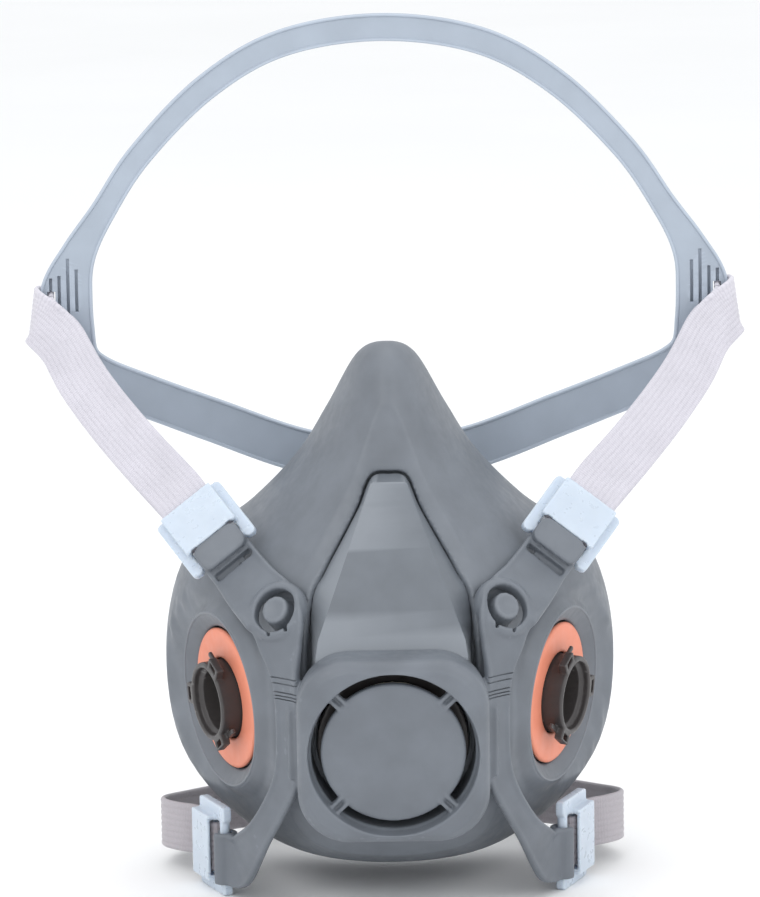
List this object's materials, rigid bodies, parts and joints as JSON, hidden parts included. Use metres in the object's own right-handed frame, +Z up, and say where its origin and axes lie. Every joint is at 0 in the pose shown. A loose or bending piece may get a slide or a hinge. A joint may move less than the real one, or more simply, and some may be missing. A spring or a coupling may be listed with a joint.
{
  "type": "half-face respirator",
  "caption": "Reusable rubber half-face respirator: nose ridge, two side bayonet ports, round valve cover in a yoke harness, buckled straps and a head cradle.",
  "frame": {"origin": "on the surface the mask stands on, under the middle of its bounding box", "axes": "+Z up, -Y the way the valve cover faces, +X towards the wearer's left"},
  "size_m": [0.1876, 0.1088, 0.2211],
  "materials": {
    "facepiece_rubber": "matt",
    "chassis_plastic": "matt",
    "yoke_rubber": "matt",
    "port_plastic": "satin",
    "gasket_rubber": "matt",
    "valve_rubber": "matt",
    "buckle_plastic": "translucent satin",
    "cradle_plastic": "satin",
    "strap_white": "ribbed elastic",
    "strap_grey": "ribbed elastic"
  },
  "bodies": {
    "mask": {"facepiece_skin": "facepiece_rubber", "chassis_panel": "chassis_plastic", "harness_yoke": "yoke_rubber", "bayonet_port_left": "port_plastic", "bayonet_port_right": "port_plastic", "port_gasket_left": "gasket_rubber", "port_gasket_right": "gasket_rubber", "exhalation_valve_seat": "port_plastic", "upper_strap_left": "strap_white", "upper_strap_right": "strap_white"},
    "exhalation_flap": {"exhalation_valve": "valve_rubber"},
    "inhalation_flap_left": {"inhalation_valve_left": "valve_rubber"},
    "inhalation_flap_right": {"inhalation_valve_right": "valve_rubber"},
    "cradle": {"head_cradle": "cradle_plastic"},
    "top_buckle_left": {"upper_buckle_left": "buckle_plastic"},
    "top_buckle_right": {"upper_buckle_right": "buckle_plastic"},
    "neck_left": {"lower_buckle_left": "buckle_plastic", "neck_strap_left": "strap_grey", "neck_clip_hook": "buckle_plastic"},
    "neck_right": {"lower_buckle_right": "buckle_plastic", "neck_strap_right": "strap_grey", "neck_clip_loop": "buckle_plastic"}
  },
  "joints": [
    {"name": "cradle_swing", "type": "hinge", "parent": "mask", "child": "cradle", "pos_m": [0, -0.01335, 0.08983], "axis": [1, 0, 0], "range_deg": [-30, 10], "deforming": ["upper_strap_left", "upper_strap_right"]},
    {"name": "top_buckle_left_tilt", "type": "hinge", "parent": "mask", "child": "top_buckle_left", "pos_m": [-0.04244, -0.01335, 0.08983], "axis": [0.7906, 0.1201, 0.6005], "range_deg": [-6, 2]},
    {"name": "top_buckle_right_tilt", "type": "hinge", "parent": "mask", "child": "top_buckle_right", "pos_m": [0.04244, -0.01335, 0.08983], "axis": [0.7906, -0.1201, -0.6005], "range_deg": [-6, 2]},
    {"name": "neck_left_swing", "type": "hinge", "parent": "mask", "child": "neck_left", "pos_m": [-0.04336, -0.01654, 0.0117], "axis": [0, 0, 1], "range_deg": [0, 25]},
    {"name": "neck_right_swing", "type": "hinge", "parent": "mask", "child": "neck_right", "pos_m": [0.04336, -0.01654, 0.0117], "axis": [0, 0, -1], "range_deg": [0, 25]},
    {"name": "exhalation_lift", "type": "slide", "parent": "mask", "child": "exhalation_flap", "axis": [0, -0.9925, -0.122], "range_m": [0, 0.0022], "stiffness_N_per_m": 3, "springref_m": -0.0006},
    {"name": "inhalation_left_lift", "type": "slide", "parent": "mask", "child": "inhalation_flap_left", "axis": [0.9062, 0.4171, 0.07], "range_m": [0, 0.0012], "stiffness_N_per_m": 2, "springref_m": -0.0008},
    {"name": "inhalation_right_lift", "type": "slide", "parent": "mask", "child": "inhalation_flap_right", "axis": [-0.9062, 0.4171, 0.07], "range_m": [0, 0.0012], "stiffness_N_per_m": 2, "springref_m": -0.0008}
  ],
  "couplings": [
    {"joint": "top_buckle_left_tilt", "follows": "cradle_swing", "ratio": 0.17},
    {"joint": "top_buckle_right_tilt", "follows": "cradle_swing", "ratio": 0.17}
  ]
}
